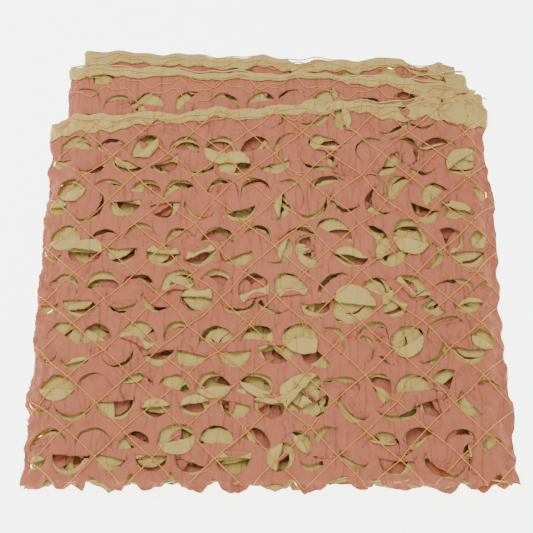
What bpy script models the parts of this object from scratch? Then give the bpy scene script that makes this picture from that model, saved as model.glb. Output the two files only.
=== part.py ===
"""Folded camouflage netting: one length of incised two-tone cloth, folded back and forth
into six layers, with the border cord that runs along its back and front edges.

Metres, +Z up. The pack lies on the floor: X runs across it, from fold to fold, and Y runs
from its front edge to its back edge. The origin is under the middle of the pack.
"""
import math

import bmesh
import bpy

# ---------------------------------------------------------------- driving sizes
CLOTH_THICKNESS = 0.0030   # cloth and net together
LAYER_PITCH = 0.0062       # from one layer's middle to the next one's
LAYER_WAVE = 0.0007        # how much more each layer rolls than the layer below it
ROLL_LENGTH_X = 0.58       # distance between the soft rolls, across the pack
ROLL_LENGTH_Y = 0.44       # and from front to back
END_SHARES = (0.0, 0.014, 0.029, 0.045, 0.066, 0.21, 0.355)  # stations in half a layer
FOLD_STEPS = 4             # spans round one fold
EDGE_STEPS = 11            # spans from the front edge to the back edge
EDGE_RAGGED = 0.006        # how far the free edges wander
FRONT_SEED = 9             # so that the front edges wander unlike the back ones
LEDGE = 0.006              # a layer stays level this far past the end of the one below
DROOP_LENGTH = 0.032       # and sinks onto the next one down over this length
FOLD_BLEND = 0.20          # share of a layer's width over which its edges turn to a fold
CORD_RADIUS = 0.0022
CORD_CLEARANCE = 0.0008    # from the cloth's edge to the border cord
CORD_BEVEL_RESOLUTION = 2
CUT_STEPS = 12             # spans along the arc of a cut-out
CUT_REACH = 0.0026         # how far a cutter passes the top layer's faces

# One row for each layer, from the top of the pack to the floor. The sides are where the
# layer ends or folds, and the back edge is given at its left end, middle and right end.
LAYER_COLUMNS = ("left", "right", "front", "back_left", "back_middle", "back_right")
LAYER_ROWS = (
    (-0.484, 0.489, -0.528, 0.328, 0.352, 0.392),
    (-0.474, 0.466, -0.519, 0.318, 0.340, 0.380),
    (-0.452, 0.463, -0.511, 0.486, 0.455, 0.445),
    (-0.448, 0.438, -0.507, 0.474, 0.444, 0.434),
    (-0.420, 0.436, -0.503, 0.5318, 0.508, 0.500),
    (-0.416, 0.424, -0.499, 0.521, 0.497, 0.490),
)
LAYERS = [dict(zip(LAYER_COLUMNS, row)) for row in LAYER_ROWS]

# The cuts of the garnish follow a lattice. Each is half a circle, and its flap hangs from a
# hinge line. The rows come in pairs: the arcs of an even row bulge towards +Y, and those of
# the odd row just in front of it bulge towards -Y and are shifted by half a column.
CUT_ORIGIN = (-0.430, -0.100)
CUT_COLUMN_PITCH = 0.080
CUT_PAIR_PITCH = 0.114
CUT_ROW_GAP = 0.022        # between the two rows of a pair
CUT_RADIUS = 0.031
HINGE_SHARE = 0.15         # from a cut's centre to its hinge line, as a share of the radius

# The largest gaps, where the flap of a cut in the top layer is turned over.
CUT_COLUMNS = ("column", "row")
CUT_ROWS = (
    (2, 4), (5, 6), (10, 3), (4, 2), (0, 1), (6, 1),
    (4, -1), (10, -1), (1, -3), (9, -4), (4, -6), (2, -5),
)
CUTS = [dict(zip(CUT_COLUMNS, row)) for row in CUT_ROWS]

GARNISH_COLOUR = (0.48, 0.21, 0.135, 1.0)
BORDER_COLOUR = (0.58, 0.49, 0.31, 1.0)


# ---------------------------------------------------------------- scene
def clear_scene():
    for item in list(bpy.data.objects):
        bpy.data.objects.remove(item, do_unlink=True)


def new_collection(name):
    collection = bpy.data.collections.new(name)
    bpy.context.scene.collection.children.link(collection)
    return collection


def cloth_material(name, colour, roughness):
    material = bpy.data.materials.new(name)
    material.use_nodes = True
    shader = material.node_tree.nodes["Principled BSDF"]
    shader.inputs["Base Color"].default_value = colour
    shader.inputs["Roughness"].default_value = roughness
    shader.inputs["Metallic"].default_value = 0.0
    return material


# ---------------------------------------------------------------- the folded sheet
def smooth(value):
    value = min(max(value, 0.0), 1.0)
    return value * value * (3.0 - 2.0 * value)


def roll(x, y):
    """Soft rolls that all the layers share, from -1 to 1."""
    across = math.sin(2.0 * math.pi * x / ROLL_LENGTH_X + 0.8)
    along = math.cos(2.0 * math.pi * y / ROLL_LENGTH_Y + 1.1 * x / ROLL_LENGTH_X)
    return 0.5 * (across + along)


def cover(layer, x):
    """How far a layer holds up the ones above it: 1 over the layer, falling to 0 past its end."""
    past_end = max(layer["left"] - x, x - layer["right"]) - LEDGE
    return 1.0 - smooth(past_end / DROOP_LENGTH)


def layer_height(index, x, y):
    """Height of a layer's middle, which rests on all the layers that reach under it."""
    height = 0.5 * CLOTH_THICKNESS
    for below in LAYERS[index + 1:]:
        height += (LAYER_PITCH + LAYER_WAVE * roll(x, y)) * cover(below, x)
    return height


def back_edge(layer, share):
    """Y of a layer's back edge; share runs from its left end, 0, to its right end, 1."""
    left, middle, right = layer["back_left"], layer["back_middle"], layer["back_right"]
    bow = middle - 0.5 * (left + right)
    return left + (right - left) * share + 4.0 * bow * share * (1.0 - share)


def ragged(x, seed):
    """The small wander of a free edge."""
    wander = math.sin(x * 41.0 + 2.3 * seed) + 0.6 * math.sin(x * 97.0 + 4.1 * seed)
    return EDGE_RAGGED * wander / 1.6


def path_stations():
    """Stations along the zigzag section, each with its layer, side to side share and fold turn.

    The top layer runs from its free right edge to the left fold, the next one back to the
    right fold, and so on, down to the bottom layer, which ends at its free right end.
    """
    stations = []
    count = len(LAYERS)
    rightward_shares = list(END_SHARES) + [0.5] + [1.0 - share for share in END_SHARES[::-1]]
    for index in range(count):
        leftward = index % 2 == 0
        for share in rightward_shares[::-1] if leftward else rightward_shares:
            stations.append((index, share, 0.0))
        if index < count - 1:
            for step in range(1, FOLD_STEPS):
                stations.append((index, 0.0 if leftward else 1.0, step / FOLD_STEPS))
    return stations


def own_edge(index, share, which):
    """Y of a layer's own front or back edge, before its folds draw it in."""
    layer = LAYERS[index]
    x = layer["left"] + (layer["right"] - layer["left"]) * share
    if which == "back":
        return back_edge(layer, share) + ragged(x, index)
    return layer["front"] + ragged(x, index + FRONT_SEED)


def fold_edge(upper, which):
    """Y of an edge at the fold below a layer, halfway between the two layers' own edges."""
    share = 0.0 if upper % 2 == 0 else 1.0
    return 0.5 * (own_edge(upper, share, which) + own_edge(upper + 1, share, which))


def edge_y(index, share, which):
    """Y of a layer's edge, which turns smoothly to meet the edge at each of its folds."""
    y = own_edge(index, share, which)
    for upper in (index - 1, index):
        if upper < 0 or upper > len(LAYERS) - 2:
            continue
        fold_share = 0.0 if upper % 2 == 0 else 1.0
        nearness = 1.0 - smooth(abs(share - fold_share) / FOLD_BLEND)
        pull = fold_edge(upper, which) - own_edge(index, fold_share, which)
        y += pull * nearness
    return y


def sheet_point(station, along):
    """A point of the sheet's middle surface; along runs from the front edge to the back edge."""
    index, share, turn = station
    layer = LAYERS[index]
    front = edge_y(index, share, "front")
    back = edge_y(index, share, "back")
    y = front + (back - front) * along
    x = layer["left"] + (layer["right"] - layer["left"]) * share
    z = layer_height(index, x, y)
    if turn == 0.0:
        return x, y, z
    below = LAYERS[index + 1]
    x_below = below["left"] if share == 0.0 else below["right"]
    z_below = layer_height(index + 1, x_below, y)
    radius = 0.5 * (z - z_below)
    outward = -1.0 if share == 0.0 else 1.0
    angle = math.pi * turn
    x_fold = x + (x_below - x) * turn + outward * radius * math.sin(angle)
    z_fold = 0.5 * (z + z_below) + radius * math.cos(angle)
    return x_fold, y, z_fold


def make_garnish_cloth(collection, material):
    """The whole length of cloth, as one zigzag surface given its thickness."""
    stations = path_stations()
    mesh = bpy.data.meshes.new("garnish_cloth")
    builder = bmesh.new()
    rows = []
    for station in stations:
        row = []
        for step in range(EDGE_STEPS + 1):
            row.append(builder.verts.new(sheet_point(station, step / EDGE_STEPS)))
        rows.append(row)
    for row, following in zip(rows, rows[1:]):
        for step in range(EDGE_STEPS):
            corners = (row[step], row[step + 1], following[step + 1], following[step])
            builder.faces.new(corners)
    builder.to_mesh(mesh)
    builder.free()
    cloth = bpy.data.objects.new("garnish_cloth", mesh)
    collection.objects.link(cloth)
    mesh.materials.append(material)
    thickness = cloth.modifiers.new("cloth_thickness", "SOLIDIFY")
    thickness.thickness = CLOTH_THICKNESS
    thickness.offset = 0.0
    thickness.use_even_offset = True
    return cloth


# ---------------------------------------------------------------- cut-outs
def cut_centre(cut):
    """Middle of the circle that a cut follows, and the way in which it opens along Y."""
    odd = cut["row"] % 2
    x = CUT_ORIGIN[0] + CUT_COLUMN_PITCH * (cut["column"] + 0.5 * odd)
    y = CUT_ORIGIN[1] + CUT_PAIR_PITCH * (cut["row"] // 2) - CUT_ROW_GAP * odd
    return x, y, -1.0 if odd else 1.0


def half_moon_outline(cut):
    """Outline of the gap that a turned flap leaves: the arc of the cut and its hinge line."""
    x, y, way = cut_centre(cut)
    end = math.asin(HINGE_SHARE)
    points = []
    for step in range(CUT_STEPS + 1):
        angle = end + (math.pi - 2.0 * end) * step / CUT_STEPS
        points.append((x + CUT_RADIUS * math.cos(angle), y + way * CUT_RADIUS * math.sin(angle)))
    return points


def make_cutters(collection):
    """All the cut-outs as one cutter, which passes through the top layer only."""
    mesh = bpy.data.meshes.new("gap_cutters")
    builder = bmesh.new()
    for cut in CUTS:
        x, y, _ = cut_centre(cut)
        middle = layer_height(0, x, y)
        low = middle - 0.5 * CLOTH_THICKNESS - 0.5 * CUT_REACH
        high = middle + 0.5 * CLOTH_THICKNESS + CUT_REACH
        corners = [builder.verts.new((x, y, low)) for x, y in half_moon_outline(cut)]
        face = builder.faces.new(corners)
        grown = bmesh.ops.extrude_face_region(builder, geom=[face])
        lifted = [item for item in grown["geom"] if isinstance(item, bmesh.types.BMVert)]
        bmesh.ops.translate(builder, verts=lifted, vec=(0.0, 0.0, high - low))
    bmesh.ops.recalc_face_normals(builder, faces=builder.faces)
    builder.to_mesh(mesh)
    builder.free()
    cutter = bpy.data.objects.new("gap_cutters", mesh)
    cutter.hide_render = True
    cutter.display_type = "WIRE"
    collection.objects.link(cutter)
    return cutter


def cut_gaps(cloth, cutter):
    gaps = cloth.modifiers.new("largest_gaps", "BOOLEAN")
    gaps.operation = "DIFFERENCE"
    gaps.solver = "EXACT"
    gaps.object = cutter


# ---------------------------------------------------------------- border cords
def make_border_cord(name, which, collection, material):
    """The cord laced along one whole edge of the cloth, through all its folds."""
    offset = CORD_RADIUS + CORD_CLEARANCE
    along = 1.0 if which == "back" else 0.0
    outward = 1.0 if which == "back" else -1.0
    curve = bpy.data.curves.new(name, "CURVE")
    curve.dimensions = "3D"
    curve.bevel_depth = CORD_RADIUS
    curve.bevel_resolution = CORD_BEVEL_RESOLUTION
    curve.use_fill_caps = True
    stations = path_stations()
    spline = curve.splines.new("POLY")
    spline.points.add(len(stations) - 1)
    for point, station in zip(spline.points, stations):
        x, y, z = sheet_point(station, along)
        point.co = (x, y + outward * offset, max(z, CORD_RADIUS + 0.0001), 1.0)
    curve.materials.append(material)
    cord = bpy.data.objects.new(name, curve)
    collection.objects.link(cord)
    return cord


def main():
    clear_scene()
    parts = new_collection("camouflage_netting")
    cutters = new_collection("cutters")
    garnish = cloth_material("garnish_cloth", GARNISH_COLOUR, 0.85)
    border = cloth_material("border_cord", BORDER_COLOUR, 0.8)
    cloth = make_garnish_cloth(parts, garnish)
    cut_gaps(cloth, make_cutters(cutters))
    make_border_cord("border_cord_back", "back", parts, border)
    make_border_cord("border_cord_front", "front", parts, border)


main()
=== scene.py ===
# %% [markdown]
# # A folded camouflage net
#
# The real thing is one length of coated cloth, terracotta on one side and tan on the other.
# A roller has cut rows of arcs into it, and the cloth is laced to a net of golden cord. It is
# folded back and forth into six layers. This lesson cuts each layer flat, as the roller does,
# turns and crumples its flaps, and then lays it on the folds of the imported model.

import math

import bpy
import numpy as np
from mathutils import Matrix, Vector
from mathutils.bvhtree import BVHTree
from mathutils.geometry import delaunay_2d_cdt
from mathutils.kdtree import KDTree


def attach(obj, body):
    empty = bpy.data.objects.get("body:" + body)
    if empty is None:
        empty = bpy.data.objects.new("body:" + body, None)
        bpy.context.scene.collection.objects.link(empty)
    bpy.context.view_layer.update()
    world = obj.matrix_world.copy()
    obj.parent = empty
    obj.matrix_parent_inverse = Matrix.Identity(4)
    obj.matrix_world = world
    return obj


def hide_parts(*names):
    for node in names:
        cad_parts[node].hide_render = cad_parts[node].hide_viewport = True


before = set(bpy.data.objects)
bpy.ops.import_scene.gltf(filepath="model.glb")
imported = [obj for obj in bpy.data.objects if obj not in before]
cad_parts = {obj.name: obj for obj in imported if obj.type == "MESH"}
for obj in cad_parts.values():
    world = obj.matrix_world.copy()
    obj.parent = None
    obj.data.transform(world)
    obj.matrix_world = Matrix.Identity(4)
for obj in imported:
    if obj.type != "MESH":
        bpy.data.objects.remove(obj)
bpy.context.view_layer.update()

# %% [markdown]
# ## Sizes
#
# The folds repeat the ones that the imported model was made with, so each finished layer lies
# where its solid lies. One row describes one layer, from the top of the pack to the floor.

# %% Sizes of the folds
SHEET = 0.0030          # the solid's thickness, cloth and net together
PITCH = 0.0062          # from one layer's middle to the next one's
WAVE = 0.0007           # how much more each layer rolls than the one below
ROLL_X = 0.58
ROLL_Y = 0.44
LEDGE = 0.006           # a layer stays level this far past the end of the one below
DROOP = 0.032           # and sinks onto the next one down over this length
FOLD_BLEND = 0.20       # share of the width over which an edge turns to meet its fold
RAGGED = 0.006
FRONT_SEED = 9
COLUMNS = ("left", "right", "front", "back_left", "back_middle", "back_right", "spacing")
ROWS = (
    (-0.484, 0.489, -0.528, 0.328, 0.352, 0.392, 0.0050),
    (-0.474, 0.466, -0.519, 0.318, 0.340, 0.380, 0.0058),
    (-0.452, 0.463, -0.511, 0.486, 0.455, 0.445, 0.0066),
    (-0.448, 0.438, -0.507, 0.474, 0.444, 0.434, 0.0080),
    (-0.420, 0.436, -0.503, 0.5318, 0.508, 0.500, 0.0080),
    (-0.416, 0.424, -0.499, 0.521, 0.497, 0.490, 0.0090),
)
LAYERS = [dict(zip(COLUMNS, row)) for row in ROWS]
CLOTH = 0.0006          # the cloth alone
CEILING = 0.0385        # heights over this are pressed down to a share of themselves
CEILING_SHARE = 0.35
FOLD_ARC = 0.0049       # a quarter turn round a fold
SIDE_RAGGED = 0.0055    # how unevenly the folds at the sides bulge


# %% [markdown]
# ## Camera
#
# The pack is seen from above its front edge, about 62 degrees over the floor.

# %% Camera
CAMERA_RISE = math.radians(62.0)
CAMERA_DISTANCE = 2.9
CAMERA_TARGET = Vector((-0.008, -0.045, 0.034))
camera_data = bpy.data.cameras.new("studio_camera")
camera_data.lens = 93.6
camera = bpy.data.objects.new("studio_camera", camera_data)
bpy.context.scene.collection.objects.link(camera)
away = Vector((0.0, -math.cos(CAMERA_RISE), math.sin(CAMERA_RISE)))
camera.location = CAMERA_TARGET + CAMERA_DISTANCE * away
camera.rotation_euler = (math.pi / 2 - CAMERA_RISE, 0.0, 0.0)
bpy.context.scene.camera = camera


# %% [markdown]
# ## The shape of the folded pack
#
# These functions say where a layer lies. They work on whole arrays of points, because a layer
# has tens of thousands of them.

# %% Where a layer lies
def smooth(value):
    value = np.clip(value, 0.0, 1.0)
    return value * value * (3.0 - 2.0 * value)


def roll(x, y):
    across = np.sin(2.0 * np.pi * x / ROLL_X + 0.8)
    along = np.cos(2.0 * np.pi * y / ROLL_Y + 1.1 * x / ROLL_X)
    return 0.5 * (across + along)


def cover(layer, x):
    past_end = np.maximum(layer["left"] - x, x - layer["right"]) - LEDGE
    return 1.0 - smooth(past_end / DROOP)


def layer_height(index, x, y):
    height = np.full(np.shape(x), 0.5 * SHEET)
    for below in LAYERS[index + 1:]:
        height = height + (PITCH + WAVE * roll(x, y)) * cover(below, x)
    return height


def ragged(x, seed):
    wander = np.sin(x * 41.0 + 2.3 * seed) + 0.6 * np.sin(x * 97.0 + 4.1 * seed)
    return RAGGED * wander / 1.6


def own_edge(index, share, which):
    layer = LAYERS[index]
    x = layer["left"] + (layer["right"] - layer["left"]) * share
    if which == "front":
        return layer["front"] + ragged(x, index + FRONT_SEED)
    left, middle, right = layer["back_left"], layer["back_middle"], layer["back_right"]
    bow = middle - 0.5 * (left + right)
    return left + (right - left) * share + 4.0 * bow * share * (1.0 - share) + ragged(x, index)


def edge_y(index, x, which):
    """Y of a layer's front or back edge over x."""
    layer = LAYERS[index]
    share = np.clip((x - layer["left"]) / (layer["right"] - layer["left"]), 0.0, 1.0)
    y = own_edge(index, share, which)
    for upper in (index - 1, index):
        if upper < 0 or upper > len(LAYERS) - 2:
            continue
        side = 0.0 if upper % 2 == 0 else 1.0
        middle = 0.5 * (own_edge(upper, side, which) + own_edge(upper + 1, side, which))
        nearness = 1.0 - smooth(np.abs(share - side) / FOLD_BLEND)
        y = y + (middle - own_edge(index, side, which)) * nearness
    return y


def partner(index, side):
    """The layer that this one is joined to round a fold on a side, or None at a free end."""
    if side == "left":
        other = index + 1 if index % 2 == 0 else index - 1
    else:
        other = index - 1 if index % 2 == 0 else index + 1
    return other if 0 <= other < len(LAYERS) else None


# %% [markdown]
# ## Uneven cloth
#
# Cloth that was stuffed into a sack has soft swells and sharper creases. Smooth random
# values on a lattice give the swells, and the folded-over kind of the same noise gives creases.

# %% Sizes of the net and of the main creases
MESH_ORIGIN = (-0.048, -0.178)
MESH_HALF_X = 0.0595       # from a knot to the next one's line, across
MESH_HALF_Y = 0.0585
NET_RADIUS = 0.00105
FRONT_LIP = 0.009          # how far the top layer's front edge hangs down
LACED_COLUMNS = (0, 2, 8)  # lines of knots at which the cloth is laced to the net
MAIN_CREASES = (
    (0.0044, 0.0040, 0.009, ((-0.084, -0.52), (-0.118, -0.20), (-0.110, 0.05), (-0.134, 0.30))),
    (0.0042, 0.0022, 0.006, ((-0.22, 0.285), (-0.30, 0.215), (-0.37, 0.185), (-0.46, 0.165))),
    (0.0026, 0.0020, 0.007, ((0.02, -0.50), (0.05, -0.36), (0.16, -0.25))),
    (0.0028, 0.0018, 0.007, ((0.24, 0.22), (0.30, 0.06), (0.27, -0.10))),
    (0.0026, 0.0018, 0.007, ((-0.40, -0.46), (-0.33, -0.30), (-0.36, -0.14))),
    (0.0026, 0.0018, 0.006, ((0.44, 0.30), (0.415, 0.10), (0.43, -0.12), (0.41, -0.34))),
)


def laced_places():
    chance = np.random.RandomState(5)
    places = []
    for column in LACED_COLUMNS:
        for row in range(-5, 9):
            if (column + row) % 2 == 0 and chance.uniform() < 0.75:
                places.append((MESH_ORIGIN[0] + MESH_HALF_X * column,
                               MESH_ORIGIN[1] + MESH_HALF_Y * row))
    return places


LACED_PLACES = laced_places()


# %% Soft random relief
def lattice_noise(x, y, spacing, seed):
    """Smooth random values from -1 to 1, one knot of the lattice for each spacing."""
    knots = np.random.RandomState(seed).uniform(-1.0, 1.0, (128, 128))
    u = x / spacing + 1000.0
    v = y / spacing + 1000.0
    column = np.floor(u).astype(int)
    row = np.floor(v).astype(int)
    s = smooth(u - column)
    t = smooth(v - row)
    near = knots[row % 128, column % 128] * (1 - s) + knots[row % 128, (column + 1) % 128] * s
    row = row + 1
    far = knots[row % 128, column % 128] * (1 - s) + knots[row % 128, (column + 1) % 128] * s
    return near * (1 - t) + far * t


def turned(x, y, degrees):
    """The same points in axes turned by an angle."""
    angle = math.radians(degrees)
    return (x * math.cos(angle) + y * math.sin(angle), y * math.cos(angle) - x * math.sin(angle))


def creases(x, y, length, width, degrees, seed):
    """Sharp ridges from 0 to 1, longer than they are wide, along one direction."""
    u, v = turned(x, y, degrees)
    u = u + 0.4 * length * lattice_noise(x, y, length, seed + 50)
    v = v + 0.7 * width * lattice_noise(x, y, 2.5 * width, seed + 51)
    ridge = 1.0 - np.abs(lattice_noise(u * width / length, v, width, seed))
    return np.clip(ridge - 0.55, 0.0, 1.0) / 0.45


def along_line(x, y, line):
    """Signed distance from a crease, positive on its left."""
    best = np.full(np.shape(x), 9.0)
    signed = np.full(np.shape(x), 9.0)
    for (x0, y0), (x1, y1) in zip(line, line[1:]):
        length = math.hypot(x1 - x0, y1 - y0)
        ux, uy = (x1 - x0) / length, (y1 - y0) / length
        along = np.clip((x - x0) * ux + (y - y0) * uy, 0.0, length)
        distance = np.hypot(x - x0 - along * ux, y - y0 - along * uy)
        side = np.sign(ux * (y - y0) - uy * (x - x0))
        nearer = distance < best
        signed = np.where(nearer, side * distance, signed)
        best = np.where(nearer, distance, best)
    return signed


def main_creases(x, y):
    """The few creases that are seen from afar, each with a ridge beside a soft trough."""
    height = np.zeros(np.shape(x))
    wobble = 0.006 * lattice_noise(x, y, 0.05, 17)
    for ridge, trough, width, line in MAIN_CREASES:
        d = along_line(x, y, line) + wobble
        height += ridge * np.exp(-(d / width) ** 2)
        height -= trough * np.exp(-((d + 1.7 * width) / (1.2 * width)) ** 2)
    return height


def gathers(x, y):
    """Cloth drawn together where it is laced to the net."""
    height = np.zeros(np.shape(x))
    for number, (cx, cy) in enumerate(LACED_PLACES):
        distance = np.hypot(x - cx, y - cy)
        angle = np.arctan2(y - cy, x - cx)
        rays = np.abs(np.sin(2.5 * angle + number))
        height += 0.0052 * (rays ** 3) * np.exp(-(distance / 0.022) ** 2) * smooth(distance / 0.008)
    return height


def relief(index, x, y):
    """Height that a layer's swells and creases add to the flat layer."""
    level = (len(LAYERS) - 1 - index) / (len(LAYERS) - 1)
    shared = level * 0.0022 * lattice_noise(x, y, 0.11, 3)
    if index == 0:
        own = 0.0020 * lattice_noise(x, y, 0.045, 11)
        own += 0.0032 * creases(x, y, 0.10, 0.028, 20.0, 21)
        own += 0.0032 * creases(x, y, 0.09, 0.020, -52.0, 22)
        own += 0.0032 * creases(x, y, 0.05, 0.013, 78.0, 23)
        own += 0.0030 * creases(x, y, 0.04, 0.012, 130.0, 24)
        own += 0.0014 * lattice_noise(x, y, 0.011, 12)
        own += main_creases(x, y) + gathers(x, y)
        own -= FRONT_LIP * smooth((LAYERS[0]["front"] + 0.016 - y) / 0.016)
    else:
        own = 0.0007 * lattice_noise(x, y, 0.03, 30 + index) + (0.0024 if index == 1 else 0.0)
        own += 0.0010 * creases(x, y, 0.06, 0.024, 35.0 * index, 40 + index)
        own += 0.0008 * creases(x, y, 0.05, 0.016, 35.0 * index - 70.0, 50 + index)
    return shared + own


def place(index, x, y, lift):
    """Points of a layer in space: over its flat part, or round the folds at its ends."""
    layer = LAYERS[index]
    z = layer_height(index, np.clip(x, layer["left"], layer["right"]), y) + lift
    places = np.stack([x, y, z], axis=1)
    for side, sign in (("left", -1.0), ("right", 1.0)):
        other = partner(index, side)
        if other is None:
            continue
        end = layer[side]
        past = np.clip((x - end) * sign, 0.0, FOLD_ARC)
        bent = (x - end) * sign > 0.0
        angle = 0.5 * np.pi * past / FOLD_ARC
        z_self = layer_height(index, np.full_like(x, end), y)
        z_other = layer_height(other, np.full_like(x, LAYERS[other][side]), y)
        facing = 1.0 if other > index else -1.0
        radius = 0.5 * np.abs(z_self - z_other) + facing * lift
        middle = 0.5 * (end + LAYERS[other][side])
        x_end = end + (middle - end) * past / FOLD_ARC
        x_bent = x_end + sign * radius * np.sin(angle)
        z_bent = 0.5 * (z_self + z_other) + facing * radius * np.cos(angle)
        places[:, 0] = np.where(bent, x_bent, places[:, 0])
        places[:, 2] = np.where(bent, z_bent, places[:, 2])
        near_end = 1.0 - smooth((end - x) * sign / 0.030)
        bulge = lattice_noise(y * 0.0, y, 0.034, 500 + min(index, other))
        places[:, 0] += SIDE_RAGGED * sign * near_end * bulge
    return places


# %% [markdown]
# ## The cuts
#
# Each cut is an arc of a circle, a little more than half of it. The cloth inside stays joined
# along the open side and becomes a flap. Rows open away from the viewer and towards the viewer
# in turn. In use the flaps turn over, slide, curl or stay shut, and a turned one shows the
# other colour.

# %% Lattice of cuts
CUT_ORIGIN = (-0.430, -0.100)
CUT_COLUMN_PITCH = 0.080
CUT_PAIR_PITCH = 0.114
CUT_ROW_GAP = 0.022
CUT_RADIUS = 0.031
CUT_SPACING = 0.0042
TURNED, TUCKED, GATHERED, CURLED = 0.20, 0.58, 0.90, 0.96   # running shares of the flaps' states
TUCK_BEND = 0.0009
OPEN_GAPS = (
    (2, 4), (5, 6), (10, 3), (4, 2), (0, 1), (6, 1),
    (4, -1), (10, -1), (1, -3), (9, -4), (4, -6), (2, -5),
)
HEM_COLUMNS = ("left", "middle", "right")
HEMS = {
    0: dict(zip(HEM_COLUMNS, (0.046, 0.024, 0.080))),
    2: dict(zip(HEM_COLUMNS, (0.037, 0.018, 0.052))),
    4: dict(zip(HEM_COLUMNS, (0.034, 0.030, 0.012))),
}
HEM_TURN = 0.0016       # radius of the turned hem's fold


def hem_width(index, x):
    """How far the border that is turned over reaches forward from a layer's back edge."""
    if index not in HEMS:
        return np.zeros_like(x)
    hem = HEMS[index]
    width = np.interp(x, (-0.46, -0.20, 0.20, 0.44), (hem["left"], hem["middle"], hem["middle"],
                                                     hem["right"]))
    scallop = np.abs(np.sin(np.pi * (x + 0.02 * index) / 0.042))
    return width + np.pi * HEM_TURN + 0.007 * (scallop - 0.6) * (width > 0.026)


def make_cuts(index):
    """One dictionary for each cut of a layer, with its circle and the folds of its flap."""
    chance = np.random.RandomState(100 + index)
    layer = LAYERS[index]
    cuts = []
    shift = (0.0, 0.0) if index == 0 else chance.uniform(-0.04, 0.04, 2)
    for row in range(-8, 12):
        for column in range(-1, 13):
            odd = row % 2
            x = CUT_ORIGIN[0] + CUT_COLUMN_PITCH * (column + 0.5 * odd) + shift[0]
            y = CUT_ORIGIN[1] + CUT_PAIR_PITCH * (row // 2) - CUT_ROW_GAP * odd + shift[1]
            wanted = index == 0 and (column, row) in OPEN_GAPS
            jumbled = index > 0 or x > 0.0
            heading = -0.5 * math.pi if odd else 0.5 * math.pi
            turn = chance.normal(0.0, 0.80 if jumbled else 0.22)
            jitter = chance.uniform(-1.0, 1.0, 2) * (0.009 if jumbled else 0.005)
            draws = chance.uniform(0.0, 1.0, 8)
            if not wanted:
                x, y, heading = x + jitter[0], y + jitter[1], heading + turn
            room = (edge_y(index, np.array(x), "back") - y, y - edge_y(index, np.array(x), "front"))
            size = 1.0
            if index == 0 and abs(x - layer["left"] - 0.014) < 0.030:
                x, size = layer["left"] + 0.029, 0.62
            elif index == 0 and x > layer["right"] - 0.056:
                x, size = (layer["right"] - 0.049, 0.62) if x < layer["right"] - 0.020 else (x, 0.0)
            if size == 0.0 or x < layer["left"] - 0.012 or x > layer["right"] + 0.012:
                continue
            if min(room) < (0.020 if index in HEMS else 0.012):
                continue
            by_end = min(x - layer["left"], layer["right"] - x) < 0.060
            if index == len(LAYERS) - 1 or (index > 0 and by_end):
                draws[5] = 1.0
            cuts.append(make_cut(index, (x, y), size, heading, wanted, draws))
    return cuts


def make_cut(index, centre, size, heading, wanted, draws):
    """The size of one cut and the state of its flap: turned, tucked under, gathered or shut."""
    x, y = centre
    radius = CUT_RADIUS * size * (1.02 + 0.15 * draws[0])
    if index == 0 and 0.05 < x < 0.40 and draws[1] > 0.70:
        radius = 1.20 * radius
    half_turn = math.radians(96.0 + 9.0 * draws[1])
    bend = 0.0016 + 0.0010 * draws[2] if index == 0 else 0.0011
    hinge = -0.06 + 0.36 * draws[3] ** 1.7
    swing = 0.9 * max(half_turn - math.acos(hinge), 0.05) * (2.0 * draws[4] - 1.0)
    kind = draws[5]
    if wanted:
        hinge, swing, kind = 0.0, 0.0, TURNED + 0.3 * draws[5]
    reach = radius * (1.0 - hinge)
    folds = []
    ripple = (0.0, 0.012)
    if kind < TURNED:
        folds.append((0.0, math.pi * 0.985, bend))
        if draws[6] < 0.28:
            folds.append((reach * (0.45 + 0.25 * draws[7]), -math.pi * 0.97, bend))
    elif kind < TUCKED:
        folds.append((0.0, -math.pi * 0.96, TUCK_BEND))
    elif kind < GATHERED:
        ripple = (-1.05 - 0.25 * draws[6], 0.010 + 0.005 * draws[7])
    elif kind < CURLED:
        folds.append((reach * (0.25 + 0.35 * draws[6]), math.pi * (0.6 + 0.38 * draws[7]), bend))
    else:
        ripple = (0.25 + 0.35 * draws[6], 0.013)
    twist = 0.7 * (draws[6] - 0.5)
    if index == len(LAYERS) - 1:
        ripple, twist = (0.0, 0.013), 0.0
    return {"x": x, "y": y, "radius": radius, "heading": heading, "half_turn": half_turn,
            "hinge": hinge, "swing": swing, "folds": folds, "ripple": ripple, "reach": reach,
            "twist": twist, "lift": 0.0010 + 0.0022 * draws[7]}


# %% [markdown]
# ## Cutting a layer flat
#
# A layer starts as scattered points over its flat outline. The points along each cut and each
# hinge are set down in order, and a constrained triangulation joins all of them, so that mesh
# edges run exactly along the cuts. Then the cloth is parted there.

# %% Points of a flat layer
def arc_points(cut):
    count = int(2.0 * cut["half_turn"] * cut["radius"] / CUT_SPACING) + 2
    angles = cut["heading"] + np.linspace(-cut["half_turn"], cut["half_turn"], count)
    return np.stack([cut["x"] + cut["radius"] * np.cos(angles),
                     cut["y"] + cut["radius"] * np.sin(angles)], axis=1)


def crease_points(cut):
    """Short straight rows of points along each line on which a flap is folded."""
    rows = []
    angle = cut["heading"] + cut["swing"]
    normal = np.array([math.cos(angle), math.sin(angle)])
    across = np.array([-normal[1], normal[0]])
    for start, turn, bend in cut["folds"]:
        length = abs(turn) * bend
        for part in (0.0, 0.5, 1.0):
            offset = cut["hinge"] * cut["radius"] + start + part * length
            half = math.sqrt(max(cut["radius"] ** 2 - offset ** 2, 0.0)) - 0.0022
            if half < 0.004:
                continue
            count = max(int(2.0 * half / CUT_SPACING), 1) + 1
            steps = np.linspace(-half, half, count)[:, None]
            rows.append(np.array([cut["x"], cut["y"]]) + normal * offset + across * steps)
    return rows


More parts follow.
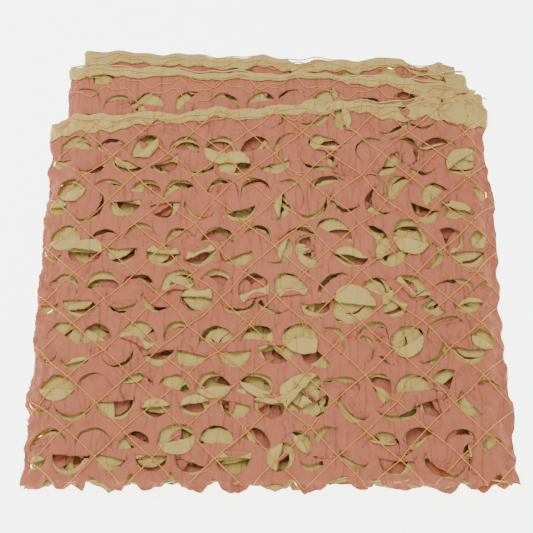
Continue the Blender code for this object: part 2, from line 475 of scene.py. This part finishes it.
def layer_limits(index):
    """Where the flat cut of a layer starts and ends in X, past the folds at its ends."""
    layer = LAYERS[index]
    left = layer["left"] - (FOLD_ARC if partner(index, "left") is not None else 0.0)
    right = layer["right"] + (FOLD_ARC if partner(index, "right") is not None else 0.0)
    return left, right


def edge_tatter(x, index, which):
    """Small bites along a free edge."""
    seed = 60 + index + (7 if which == "back" else 0)
    depth = 2.2 if which == "front" else 1.0
    bites = 0.0045 * lattice_noise(x, x * 0.0, 0.024, seed)
    return depth * bites + 0.0022 * lattice_noise(x, x * 0.0, 0.007, seed + 1)


def front_line(index, x):
    """A layer's front edge. The top one has bites where its next row of cuts begins."""
    line = edge_y(index, x, "front") + edge_tatter(x, index, "front")
    if index == 0:
        column = np.round((x - CUT_ORIGIN[0]) / CUT_COLUMN_PITCH)
        middle = CUT_ORIGIN[0] + CUT_COLUMN_PITCH * column
        open_here = lattice_noise(column, column * 0.0, 1.0, 97) > -0.2
        line = line + 0.021 * open_here * (1.0 - smooth(np.abs(x - middle) / 0.020))
    return line


def back_line(index, x):
    tatter = edge_tatter(x, index, "back") * (0.5 if index in HEMS else 1.0)
    return edge_y(index, x, "back") + hem_width(index, x) + tatter


class FlatPoints:
    """Collects points and the edges that must join them."""

    def __init__(self):
        self.points = []
        self.edges = []

    def add_row(self, row, closed=False):
        start = len(self.points)
        self.points.extend(Vector((float(p[0]), float(p[1]))) for p in row)
        indices = list(range(start, len(self.points)))
        self.edges.extend(zip(indices, indices[1:]))
        if closed:
            self.edges.append((indices[-1], indices[0]))
        return indices


def inside_runs(row, keep):
    """Splits a row of points into the runs that are kept."""
    runs, run = [], []
    for point, kept in zip(row, keep):
        if kept:
            run.append(point)
            continue
        if len(run) > 3:
            runs.append(np.array(run))
        run = []
    if len(run) > 3:
        runs.append(np.array(run))
    return runs


def cut_flat(index, cuts):
    """Triangulates a layer. Returns its points, triangles and the indices along each cut."""
    chance = np.random.RandomState(200 + index)
    spacing = LAYERS[index]["spacing"]
    left, right = layer_limits(index)
    flat = FlatPoints()
    steps = int((right - left) / (0.8 * spacing))
    xs = np.linspace(left, right, steps)
    front = np.stack([xs, front_line(index, xs)], axis=1)
    back = np.stack([xs, back_line(index, xs)], axis=1)
    sides = []
    for x, low, high in ((right, front[-1, 1], back[-1, 1]), (left, front[0, 1], back[0, 1])):
        rows = np.linspace(low, high, int((high - low) / (0.8 * spacing)))[1:-1]
        sides.append(np.stack([np.full_like(rows, x), rows], axis=1))
    outline = np.concatenate([front, sides[0], back[::-1], sides[1][::-1]])
    flat.add_row(outline, closed=True)
    if index in HEMS:
        for part in (0.0, 0.5, 1.0):
            line = edge_y(index, xs, "back") + part * math.pi * HEM_TURN
            flat.add_row(np.stack([xs, line], axis=1)[1:-1])

    def well_inside(p, margin):
        y_back = edge_y(index, p[:, 0], "back") if index in HEMS else back_line(index, p[:, 0])
        return ((p[:, 0] > left + margin) & (p[:, 0] < right - margin)
                & (p[:, 1] > front_line(index, p[:, 0]) + margin) & (p[:, 1] < y_back - margin))

    slits = []
    taken = np.full((1, 2), 9.0)
    for number, cut in enumerate(cuts):
        row = arc_points(cut)
        apart = np.hypot(*(row[:, None] - taken[None]).T).min(axis=0) > CUT_SPACING
        taken = np.concatenate([taken, row])
        for run in inside_runs(row, well_inside(row, 0.0035) & apart):
            slits.append((number, flat.add_row(run)))
        for row in crease_points(cut):
            for run in inside_runs(row, well_inside(row, 0.0035)):
                flat.add_row(run)
    fixed = len(flat.points)
    tree = KDTree(fixed)
    for number, point in enumerate(flat.points):
        tree.insert((point.x, point.y, 0.0), number)
    tree.balance()
    row_pitch = spacing * math.sqrt(0.75)
    top = back[:, 1].max()
    bottom = front[:, 1].min()
    for row in range(int((top - bottom) / row_pitch)):
        y = bottom + row_pitch * (row + 0.5)
        count = int((right - left) / spacing)
        x = left + spacing * (np.arange(count) + 0.25 + 0.5 * (row % 2))
        wobble = chance.uniform(-0.2, 0.2, (count, 2)) * spacing
        x = x + wobble[:, 0]
        y = y + wobble[:, 1]
        kept = (y > front_line(index, x)) & (y < back_line(index, x)) & (x > left) & (x < right)
        for px, py in zip(x[kept], y[kept]):
            if tree.find((px, py, 0.0))[2] > 0.62 * min(spacing, 0.0062):
                flat.points.append(Vector((float(px), float(py))))
    made = delaunay_2d_cdt(flat.points, flat.edges, [], 0, 1e-7)
    points = np.array([(p.x, p.y) for p in made[0]])
    triangles = np.array(made[2])
    where = {}
    for new, olds in enumerate(made[3]):
        for old in olds:
            where[old] = new
    middle = points[triangles].mean(axis=1)
    kept = ((middle[:, 1] > front_line(index, middle[:, 0]) - 1e-5)
            & (middle[:, 1] < back_line(index, middle[:, 0]) + 1e-5))
    triangles = triangles[kept]
    slits = [(number, [where[i] for i in row]) for number, row in slits]
    return points, triangles, slits


def part_cuts(points, triangles, slits, cuts):
    """Doubles the points along each cut, and hands the doubles to the flap's triangles."""
    triangles = triangles.copy()
    touching = {}
    slit_points = {i for _, row in slits for i in row[1:-1]}
    for number, corners in enumerate(triangles):
        for corner in corners:
            if corner in slit_points:
                touching.setdefault(int(corner), []).append(number)
    extra, outer = [], {}
    for number, row in slits:
        cut = cuts[number]
        for i in row[1:-1]:
            new = len(points) + len(extra)
            used = False
            for t in touching.get(i, ()):
                middle = points_of(points, extra, triangles[t]).mean(axis=0)
                if math.hypot(middle[0] - cut["x"], middle[1] - cut["y"]) < cut["radius"]:
                    triangles[t] = np.where(triangles[t] == i, new, triangles[t])
                    used = True
            if used:
                extra.append(points[i])
                outer.setdefault(number, []).append(i)
    if extra:
        points = np.concatenate([points, np.array(extra)])
    return points, triangles, outer


def points_of(points, extra, corners):
    return np.array([points[c] if c < len(points) else extra[c - len(points)] for c in corners])


# %% [markdown]
# ## Moving the flaps
#
# A flap bends like a strip: its slope changes where it is folded, and its length stays. So each
# flap gets a small table of how far along and how high it is at each distance from its hinge.

# %% Flap profiles
def flap_profile(cut):
    """Distance from the hinge along the cloth, and the place and height that it moves to."""
    step = 0.0002
    s = np.arange(0.0, cut["reach"] + 0.004, step)
    slope = cut["ripple"][0] * np.sin(2.0 * np.pi * s / cut["ripple"][1]) * smooth(s / 0.006)
    for start, turn, bend in cut["folds"]:
        slope = slope + turn * np.clip((s - start) / (abs(turn) * bend), 0.0, 1.0)
    along = np.concatenate([[0.0], np.cumsum(np.cos(slope[:-1])) * step])
    height = np.concatenate([[0.0], np.cumsum(np.sin(slope[:-1])) * step])
    return s, along, height


def end_creases(cut, dx, dy):
    """Short creases that run on from both ends of a cut."""
    height = np.zeros_like(dx)
    for sign in (-1.0, 1.0):
        angle = cut["heading"] + sign * cut["half_turn"]
        x = dx - cut["radius"] * math.cos(angle)
        y = dy - cut["radius"] * math.sin(angle)
        onward = angle + sign * 0.5 * math.pi - sign * 0.5 * cut["twist"]
        along = x * math.cos(onward) + y * math.sin(onward)
        across = y * math.cos(onward) - x * math.sin(onward)
        fade = smooth((along + 0.004) / 0.006) * (1.0 - smooth(along / 0.026))
        height += 0.0036 * fade * np.exp(-(across / 0.0030) ** 2)
    return height


def move_flaps(points, cuts, outer, curl):
    """Moves each flap on its hinge. Returns the moved points and their heights."""
    moved = points.copy()
    height = np.zeros(len(points))
    tree = KDTree(len(points))
    for number, point in enumerate(points):
        tree.insert((point[0], point[1], 0.0), number)
    tree.balance()
    for number, cut in enumerate(cuts):
        if number not in outer:
            continue
        rim = set(outer[number])
        found = tree.find_range((cut["x"], cut["y"], 0.0), cut["radius"] + 0.026)
        near = np.array([i for _, i, _ in found])
        dx = points[near, 0] - cut["x"]
        dy = points[near, 1] - cut["y"]
        distance = np.hypot(dx, dy)
        is_rim = np.array([i in rim for i in near])
        flap = (distance < cut["radius"] + 1e-6) & ~is_rim
        angle = cut["heading"] + cut["swing"]
        normal = (math.cos(angle), math.sin(angle))
        s = dx * normal[0] + dy * normal[1] - cut["hinge"] * cut["radius"]
        beyond = flap & (s > 0.0)
        table_s, table_along, table_height = flap_profile(cut)
        along = np.interp(s, table_s, table_along)
        shift = np.where(beyond, along - s, 0.0)
        lean = cut["twist"] * smooth(s / 0.012) * beyond
        side = -dx * normal[1] + dy * normal[0]
        new_side = side + lean * along
        moved[near, 0] += shift * normal[0] - (new_side - side) * normal[1]
        moved[near, 1] += shift * normal[1] + (new_side - side) * normal[0]
        height[near] += np.where(beyond, np.interp(s, table_s, table_height), 0.0)
        around = np.arctan2(dy, dx) - cut["heading"]
        around = np.abs((around + np.pi) % (2.0 * np.pi) - np.pi) / cut["half_turn"]
        ground = ~flap & (around < 1.0)
        past_rim = distance - cut["radius"]
        near_rim = (1.0 - smooth(past_rim / 0.014)) * (1.0 - smooth(around)) * ground
        moved[near, 0] += 0.0030 * curl * near_rim * dx / np.maximum(distance, 1e-6)
        moved[near, 1] += 0.0030 * curl * near_rim * dy / np.maximum(distance, 1e-6)
        if curl > 0.0:
            height[near] += curl * cut["lift"] * near_rim
            height[near] += curl * end_creases(cut, dx, dy)
    return moved, height


def turn_hem(index, points, height):
    """Turns a layer's back border over, so that its other side shows."""
    edge = edge_y(index, points[:, 0], "back")
    s = points[:, 1] - edge
    past = s > 0.0
    angle = np.clip(s / HEM_TURN, 0.0, math.pi)
    straight = np.clip(s - math.pi * HEM_TURN, 0.0, None)
    y = edge + HEM_TURN * np.sin(angle) - straight
    points[:, 1] = np.where(past, y, points[:, 1])
    height = height + np.where(past, HEM_TURN * (1.0 - np.cos(angle)), 0.0)
    return height


# %% [markdown]
# ## From flat layer to folded layer
#
# The moved points go through the pack's own shape, and a Solidify modifier gives the sheet its
# two faces. Its material offset puts the second colour on the underside.

# %% Building the layers
def build_layer(index, materials):
    cuts = make_cuts(index)
    points, triangles, slits = cut_flat(index, cuts)
    points, triangles, outer = part_cuts(points, triangles, slits, cuts)
    curl = 1.0 if index == 0 else 0.25
    moved, height = move_flaps(points, cuts, outer, 0.0 if index == len(LAYERS) - 1 else curl)
    if index in HEMS:
        height = turn_hem(index, moved, height)
    wander = 0.0060 + 0.0070 * smooth((moved[:, 0] + 0.05) / 0.15)
    x = moved[:, 0] + wander * lattice_noise(moved[:, 0], moved[:, 1], 0.07, 70 + index)
    y = moved[:, 1] + wander * lattice_noise(moved[:, 0], moved[:, 1], 0.07, 80 + index)
    x = x + 0.0020 * lattice_noise(moved[:, 0], moved[:, 1], 0.018, 75 + index)
    y = y + 0.0020 * lattice_noise(moved[:, 0], moved[:, 1], 0.018, 85 + index)
    left, right = layer_limits(index)
    x = np.clip(x, left, right)
    if index == 0:
        bites = 0.55 + 0.45 * lattice_noise(y * 0.0, y, 0.022, 96)
        x = x - 0.013 * bites * smooth((x - right + 0.026) / 0.026)
    lift = relief(index, x, y) + height
    places = place(index, x, y, lift)
    over = np.maximum(places[:, 2] - CEILING, 0.0)
    places[:, 2] = np.clip(places[:, 2] - (1.0 - CEILING_SHARE) * over, CLOTH, None)
    name = f"garnish_layer_{index + 1}"
    mesh = bpy.data.meshes.new(name)
    mesh.from_pydata(places.tolist(), [], triangles.tolist())
    mesh.validate()
    mesh.shade_smooth()
    piece = bpy.data.objects.new(name, mesh)
    bpy.context.scene.collection.objects.link(piece)
    for material in materials:
        mesh.materials.append(material)
    skin = piece.modifiers.new("two_faces", "SOLIDIFY")
    skin.thickness = CLOTH
    skin.offset = 0.0
    skin.material_offset = 1
    skin.material_offset_rim = 1
    print(name, len(cuts), "cuts", len(points), "points", len(triangles), "triangles",
          "height", places[:, 2].min(), places[:, 2].max())
    return piece


# %% [markdown]
# ## Finishes
#
# The cloth is coated and dull. Its colour wanders a little, and fine crumples that are too
# small for the mesh come from a bump. The cords are laid up of strands, so their bump runs
# round them at a slant.

# %% Material maths
DRAWN_OUT = 0.26           # how slowly a drawn-out noise changes along its long way


class Value:
    """A socket of a material that works with Python's operators."""

    def __init__(self, finish, socket):
        self.finish = finish
        self.socket = socket

    def combine(self, operation, first, second):
        made = self.finish.node("ShaderNodeMath", {"operation": operation},
                                {0: first, 1: second})
        return Value(self.finish, made.outputs[0])

    def __add__(self, other):
        return self.combine("ADD", self, other)

    def __sub__(self, other):
        return self.combine("SUBTRACT", self, other)

    def __rsub__(self, other):
        return self.combine("SUBTRACT", other, self)

    def __mul__(self, other):
        return self.combine("MULTIPLY", self, other)

    def __pow__(self, other):
        return self.combine("POWER", self, other)

    __radd__ = __add__
    __rmul__ = __mul__


class Finish:
    """One material, its shader and the nodes that feed it."""

    def __init__(self, name, roughness):
        self.material = bpy.data.materials.new(name)
        self.material.use_nodes = True
        self.tree = self.material.node_tree
        self.shader = self.tree.nodes["Principled BSDF"]
        self.feed(self.shader.inputs["Roughness"], roughness)

    def feed(self, socket, value):
        value = value.socket if isinstance(value, Value) else value
        if isinstance(value, bpy.types.NodeSocket):
            self.tree.links.new(value, socket)
        else:
            socket.default_value = value

    def node(self, kind, settings, sockets):
        node = self.tree.nodes.new(kind)
        for setting, value in settings.items():
            setattr(node, setting, value)
        for socket, value in sockets.items():
            self.feed(node.inputs[socket], value)
        return node

    def noise(self, scale, detail, distortion=0.0, degrees=None):
        """A noise, which is drawn out along one direction where an angle is given."""
        place = self.node("ShaderNodeTexCoord", {}, {}).outputs["Object"]
        if degrees is not None:
            place = self.node("ShaderNodeMapping", {}, {
                "Vector": place, "Rotation": (0.0, 0.0, math.radians(degrees)),
                "Scale": (1.0, DRAWN_OUT, 1.0)}).outputs["Vector"]
        made = self.node("ShaderNodeTexNoise", {}, {"Vector": place, "Scale": scale,
                                                    "Detail": detail, "Distortion": distortion})
        return Value(self, made.outputs["Fac"])

    def blend(self, share, first, second):
        made = self.node("ShaderNodeMix", {"data_type": "RGBA"},
                         {"Factor": share, 6: (*first, 1.0), 7: (*second, 1.0)})
        return made.outputs[2]

    def colour(self, value):
        self.feed(self.shader.inputs["Base Color"], value)

    def bump(self, height, distance):
        made = self.node("ShaderNodeBump", {}, {"Strength": 1.0, "Distance": distance,
                                                "Height": height})
        self.feed(self.shader.inputs["Normal"], made.outputs["Normal"])


# %% Cloth and cord finishes
def cloth_finish(name, deep, pale):
    finish = Finish(name, 0.82)
    mottle = 0.55 * finish.noise(11.0, 3.0) + 0.45 * finish.noise(420.0, 2.0)
    finish.colour(finish.blend(mottle, deep, pale))
    folds = ridges(finish, 21.0, 28.0) + ridges(finish, 26.0, -47.0) + ridges(finish, 17.0, 118.0)
    finish.bump(0.25 * folds + 0.25 * finish.noise(70.0, 4.0), 0.0080)
    return finish.material


def ridges(finish, scale, degrees):
    """Thin lines that run mostly one way, where a drawn-out noise crosses its middle value."""
    fold = finish.noise(scale, 1.5, 0.1, degrees) - 0.5
    return (1.0 - fold.combine("ABSOLUTE", fold, 0.0) * 2.0) ** 15.0


def cord_finish(name, deep, pale, strands):
    finish = Finish(name, 0.6)
    finish.colour(finish.blend(finish.noise(60.0, 2.0), deep, pale))
    round_cord = finish.node("ShaderNodeUVMap", {"uv_map": "lay"}, {}).outputs["UV"]
    split = finish.node("ShaderNodeSeparateXYZ", {}, {"Vector": round_cord})
    slant = Value(finish, split.outputs["X"]) + strands * Value(finish, split.outputs["Y"])
    wave = slant * (2.0 * math.pi)
    finish.bump(wave.combine("SINE", wave, 0.0), 0.0003)
    return finish.material


def floor_finish(name, colour):
    finish = Finish(name, 0.9)
    finish.colour((*colour, 1.0))
    finish.feed(finish.shader.inputs["Emission Color"], (1.0, 1.0, 1.0, 1.0))
    finish.feed(finish.shader.inputs["Emission Strength"], 4.5)
    return finish.material


pink = cloth_finish("terracotta_side", (0.420, 0.126, 0.063), (0.500, 0.158, 0.082))
tan = cloth_finish("tan_side", (0.490, 0.345, 0.090), (0.600, 0.430, 0.121))
golden = cord_finish("golden_cord", (0.66, 0.30, 0.055), (0.85, 0.43, 0.10), 1.0)
cream = cord_finish("cream_cord", (0.60, 0.40, 0.15), (0.76, 0.54, 0.24), 1.0)
layers = []
for index in range(len(LAYERS)):
    order = (pink, tan) if index % 2 == 0 else (tan, pink)
    piece = build_layer(index, order)
    layers.append(piece)
    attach(piece, "root")
    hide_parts("garnish_cloth")
    left, right = layer_limits(index)
    middle = np.array(0.0)
    length = float(back_line(index, middle) - front_line(index, middle))
    right - left

# %% [markdown]
# ## The net and its cords
#
# The net is laid over the finished cloth: each cord's route is drawn flat, dropped onto what
# lies under it, and then pulled tight, so that it bridges hollows instead of dipping in.

# %% Ground for the cords
def surface_of(pieces):
    """The finished faces of some pieces, for finding what lies under a cord."""
    graph = bpy.context.evaluated_depsgraph_get()
    corners, faces = [], []
    for piece in pieces:
        mesh = piece.evaluated_get(graph).to_mesh()
        start = len(corners)
        corners.extend(tuple(vertex.co) for vertex in mesh.vertices)
        faces.extend([start + i for i in polygon.vertices] for polygon in mesh.polygons)
        piece.evaluated_get(graph).to_mesh_clear()
    return BVHTree.FromPolygons(corners, faces)


NOTHING = -1.0             # the height given where nothing lies under a cord


def drop(tree, route, missing):
    """Height of what lies under each point of a flat route."""
    heights = []
    for x, y in route:
        found = tree.ray_cast(Vector((x, y, 0.3)), Vector((0.0, 0.0, -1.0)))[0]
        heights.append(missing if found is None else found.z)
    return np.array(heights)


def pulled_tight(heights, spans):
    for span in spans:
        count = len(heights)
        if count <= 2 * span:
            continue
        middle = 0.5 * (heights[2 * span:] + heights[:-2 * span])
        heights[span:-span] = np.maximum(heights[span:-span], middle)
    padded = np.concatenate([heights[:1], heights, heights[-1:]])
    return np.maximum(heights, (padded[:-2] + padded[1:-1] + padded[2:]) / 3.0)


# %% Cord meshes
class CordMesh:
    """Collects tubes that follow routes in space into one joined mesh."""

    def __init__(self):
        self.corners, self.faces, self.lay = [], [], []

    def add(self, route, radius, sides=6, closed=False, turns_per_metre=260.0):
        route = np.asarray(route)
        count = len(route)
        ahead = np.roll(route, -1, axis=0) if closed else np.vstack([route[1:], route[-1:]])
        behind = np.roll(route, 1, axis=0) if closed else np.vstack([route[:1], route[:-1]])
        forward = ahead - behind
        forward /= np.linalg.norm(forward, axis=1)[:, None] + 1e-12
        side = np.cross(forward, (0.0, 0.0, 1.0))
        flat = np.linalg.norm(side, axis=1)[:, None]
        side = np.where(flat > 0.05, side / (flat + 1e-12), np.array([1.0, 0.0, 0.0]))
        up = np.cross(side, forward)
        travelled = np.concatenate([[0.0], np.cumsum(np.linalg.norm(np.diff(route, axis=0),
                                                                   axis=1))])
        start = len(self.corners)
        for station in range(count):
            for corner in range(sides):
                angle = 2.0 * math.pi * corner / sides
                offset = math.cos(angle) * side[station] + math.sin(angle) * up[station]
                self.corners.append(tuple(route[station] + radius * offset))
        for station in range(count if closed else count - 1):
            following = (station + 1) % count
            near = travelled[station] * turns_per_metre
            far = near + np.linalg.norm(route[following] - route[station]) * turns_per_metre
            for corner in range(sides):
                beside = (corner + 1) % sides
                self.faces.append((start + station * sides + corner,
                                   start + station * sides + beside,
                                   start + following * sides + beside,
                                   start + following * sides + corner))
                low, high = corner / sides, (corner + 1) / sides
                self.lay.extend(((near, low), (near, high), (far, high), (far, low)))
        if not closed:
            for station, order in ((0, -1), (count - 1, 1)):
                ring = [start + station * sides + corner for corner in range(sides)]
                self.faces.append(tuple(ring[::order]))
                self.lay.extend((0.0, 0.0) for _ in range(sides))

    def finish(self, name, material):
        mesh = bpy.data.meshes.new(name)
        mesh.from_pydata(self.corners, [], self.faces)
        layer = mesh.uv_layers.new(name="lay")
        layer.data.foreach_set("uv", np.array(self.lay, dtype=float).ravel())
        mesh.shade_smooth()
        mesh.materials.append(material)
        piece = bpy.data.objects.new(name, mesh)
        bpy.context.scene.collection.objects.link(piece)
        print(name, len(self.faces), "faces")
        return piece


# %% Laying a cord
NET_REACH = 0.015          # a cord ends where nothing lies this close under it


def lay_cord(cord_mesh, tree, whole, spans, radius, index):
    """Drops a route onto the cloth of a layer, and leaves out what hangs past its edges."""
    lowest = layer_height(index, whole[:, 0], whole[:, 1]) - NET_REACH
    found = drop(tree, whole, NOTHING)
    for route in inside_runs(whole, found > np.maximum(lowest, 0.0)):
        heights = pulled_tight(drop(tree, route, NOTHING), spans) + 0.8 * radius
        cord_mesh.add(np.column_stack([route, heights]), radius)


# %% Routes of the net
NET_STEPS = 20             # points between two knots


def knot_place(column, row):
    chance = np.random.RandomState(7000 + 97 * (column + 40) + (row + 40))
    shift = chance.normal(0.0, 0.0032, 2)
    return np.array([MESH_ORIGIN[0] + MESH_HALF_X * column + shift[0],
                     MESH_ORIGIN[1] + MESH_HALF_Y * row + shift[1]])


def on_layer(index, points, margin):
    x, y = points[:, 0], points[:, 1]
    layer = LAYERS[index]
    return ((x > layer["left"] + margin) & (x < layer["right"] - margin)
            & (y > edge_y(index, x, "front") + margin) & (y < edge_y(index, x, "back") - margin))


def net_routes():
    """All the cords of the net that run one way and the other, as flat routes."""
    routes = []
    for way in (-1, 1):
        for first in range(-30, 31, 2):
            knots = [knot_place(first + way * row, row) for row in range(-8, 11)]
            points = []
            for start, end in zip(knots, knots[1:]):
                share = np.linspace(0.0, 1.0, NET_STEPS, endpoint=False)[:, None]
                across = np.array([start[1] - end[1], end[0] - start[0]])
                bow = np.random.RandomState(int(abs(start[0] * 9e5)) % 99991).normal(0.0, 0.028)
                points.append(start + (end - start) * share
                              + across * bow * np.sin(np.pi * share))
            points = np.concatenate(points)
            routes.extend(inside_runs(points, on_layer(0, points, 0.002)))
    return routes


def lay_net(tree):
    net = CordMesh()
    for route in net_routes():
        lay_cord(net, tree, route, (1, 2, 4, 6, 3, 1), NET_RADIUS, 0)
    return net


# %% Knots of the net
KNOT_RADIUS = 0.0019


def add_knots(net, tree):
    """Two turns of cord round each crossing."""
    for row in range(-7, 10):
        for column in range(-9, 11):
            if (row + column) % 2:
                continue
            centre = knot_place(column, row)
            if not on_layer(0, centre[None], 0.004)[0]:
                continue
            height = drop(tree, [centre], NOTHING)[0] + 0.0016
            if height < max(layer_height(0, centre[0], centre[1]) - NET_REACH, 0.0):
                continue
            lean = math.radians(40.0 + 37.0 * ((column * 7 + row * 3) % 4))
            for shift in (-0.0011, 0.0011):
                angles = np.linspace(0.0, 2.0 * math.pi, 9, endpoint=False)
                ring = np.stack([shift * math.cos(lean) - KNOT_RADIUS * np.cos(angles)
                                 * math.sin(lean) + centre[0],
                                 shift * math.sin(lean) + KNOT_RADIUS * np.cos(angles)
                                 * math.cos(lean) + centre[1],
                                 KNOT_RADIUS * np.sin(angles) + height], axis=1)
                net.add(ring, 0.0009, sides=5, closed=True)


# %% [markdown]
# ## Lacing
#
# At some knots the cloth is tied to the net with spare cord, which ends in loops and tails.

# %% Lacing loops
def add_lacing(net, tree):
    for number, (x, y) in enumerate(LACED_PLACES):
        chance = np.random.RandomState(900 + number)
        for loop in range(2):
            size = chance.uniform(0.006, 0.013)
            stretch, lean = chance.uniform(0.35, 0.8), chance.uniform(0.0, math.pi)
            sweep = chance.uniform(1.2, 2.1) * math.pi
            angles = np.linspace(0.0, sweep, 22)
            grow = size * (0.75 + 0.25 * np.sin(1.7 * angles + number))
            u, v = grow * np.cos(angles), grow * stretch * np.sin(angles)
            shift = chance.uniform(-0.007, 0.007, 2)
            route = np.stack([x + shift[0] + u * math.cos(lean) - v * math.sin(lean),
                              y + shift[1] + u * math.sin(lean) + v * math.cos(lean)], axis=1)
            heights = pulled_tight(drop(tree, route, 0.02), (1, 2, 1)) + 0.0016 + 0.0012 * loop
            net.add(np.column_stack([route, heights]), 0.0008, sides=5)


# %% Loose cords on the back borders
BACK_CORDS = (
    # layer, from X, to X, distance in front of the back edge, wander, waves
    (2, -0.44, 0.02, 0.040, 0.011, 9.0),
    (2, -0.20, 0.44, 0.026, 0.012, 11.0),
    (2, -0.46, -0.10, 0.070, 0.013, 6.0),
    (2, 0.05, 0.45, 0.046, 0.010, 8.0),
    (4, -0.40, 0.10, 0.022, 0.008, 8.0),
    (4, -0.05, 0.42, 0.020, 0.009, 9.0),
    (0, -0.46, -0.05, 0.020, 0.009, 7.0),
    (0, -0.02, 0.47, 0.024, 0.010, 9.0),
)


def add_back_cords(net, tree):
    for number, (index, start, end, inset, wander, waves) in enumerate(BACK_CORDS):
        x = np.linspace(start, end, int((end - start) / 0.0045))
        share = (x - start) / (end - start)
        swing = np.sin(2.0 * math.pi * waves * 0.5 * share + number)
        wave = swing + 0.5 * np.sin(2.0 * math.pi * waves * 1.13 * share + 2.0 * number)
        y = edge_y(index, x, "back") - inset + wander * wave
        y = np.minimum(y, edge_y(index, x, "back") - 0.002)
        lay_cord(net, tree, np.stack([x, y], axis=1), (1, 2, 4, 2, 1), NET_RADIUS, index)


# %% Make the net
ground = surface_of(layers)
net = lay_net(ground)
add_knots(net, ground)
add_lacing(net, ground)
add_back_cords(net, ground)
netting = net.finish("golden_net", golden)
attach(netting, "root")

# %% [markdown]
# ## Border cords
#
# A cream cord runs in the cloth's back and front edges through every fold, where the packed
# model has its own plain ones.

# %% Border cords
BORDER_RADIUS = 0.0016
HEM_CORD_RADIUS = 0.0011
BORDER_OFFSET = 0.0030
BORDER_STEP = 0.0065


def border_route(which):
    outward = 1.0 if which == "back" else -1.0
    inset = 0.0 if which == "back" else -6.0 * BORDER_OFFSET
    route = []
    for index in range(len(LAYERS)):
        left, right = layer_limits(index)
        x = np.arange(left, right, BORDER_STEP)
        x = np.append(x, right)
        if index % 2 == 0:
            x = x[::-1]
        inside = np.clip(x, LAYERS[index]["left"], LAYERS[index]["right"])
        y = edge_y(index, inside, which) + outward * (BORDER_OFFSET + inset)
        wander = 0.0012 * lattice_noise(x, x * 0.0, 0.05, 300 + index)
        sink = np.full_like(x, 0.0 if which == "back" else -0.0022)
        if which == "front":
            sink = sink * smooth(np.minimum(x - left, right - x) / 0.03)
        places = place(index, x, y + wander, sink)
        places[:, 2] = np.maximum(places[:, 2], BORDER_RADIUS)
        route.append(places)
    return np.concatenate(route)


def hem_cords(tree):
    """Cream cord that lies along each turned-over border, with a wander of its own."""
    cord = CordMesh()
    for index in HEMS:
        layer = LAYERS[index]
        x = np.arange(layer["left"] + 0.010, layer["right"] - 0.010, BORDER_STEP)
        wander = 0.007 * lattice_noise(x, x * 0.0, 0.06, 320 + index)
        y = edge_y(index, x, "back") - 0.013 + wander
        lay_cord(cord, tree, np.stack([x, y], axis=1), (1, 2, 4, 2, 1), HEM_CORD_RADIUS, index)
    return cord


hem_cord = hem_cords(ground).finish("cream_hem_cords", cream)
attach(hem_cord, "root")
for which in ("back", "front"):
    cord = CordMesh()
    cord.add(border_route(which), BORDER_RADIUS, sides=8)
    piece = cord.finish(f"cream_border_{which}", cream)
    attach(piece, "root")
    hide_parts(f"border_cord_{which}")

# %% Floor and light
bpy.ops.object.select_all(action="DESELECT")
bpy.ops.mesh.primitive_plane_add(size=12.0, location=(0.0, 0.0, -0.0005))
floor = bpy.context.object
floor.name = "studio_floor"
floor.data.materials.append(floor_finish("studio_floor", (0.96, 0.96, 0.96)))
world = bpy.data.worlds.new("studio_world")
bpy.context.scene.world = world
world.use_nodes = True
world.node_tree.nodes["Background"].inputs["Color"].default_value = (1.0, 1.0, 1.0, 1.0)
world.node_tree.nodes["Background"].inputs["Strength"].default_value = 0.95
for name, place_at, size, power in (("key", (-0.9, 0.5, 2.3), 1.2, 34.0),
                                    ("fill", (1.2, -1.2, 2.2), 1.8, 12.0)):
    light = bpy.data.lights.new(name, "AREA")
    light.size = size
    light.energy = power
    lamp = bpy.data.objects.new(name, light)
    bpy.context.scene.collection.objects.link(lamp)
    lamp.location = place_at
    lamp.rotation_euler = (-Vector(place_at)).to_track_quat("-Z", "Y").to_euler()
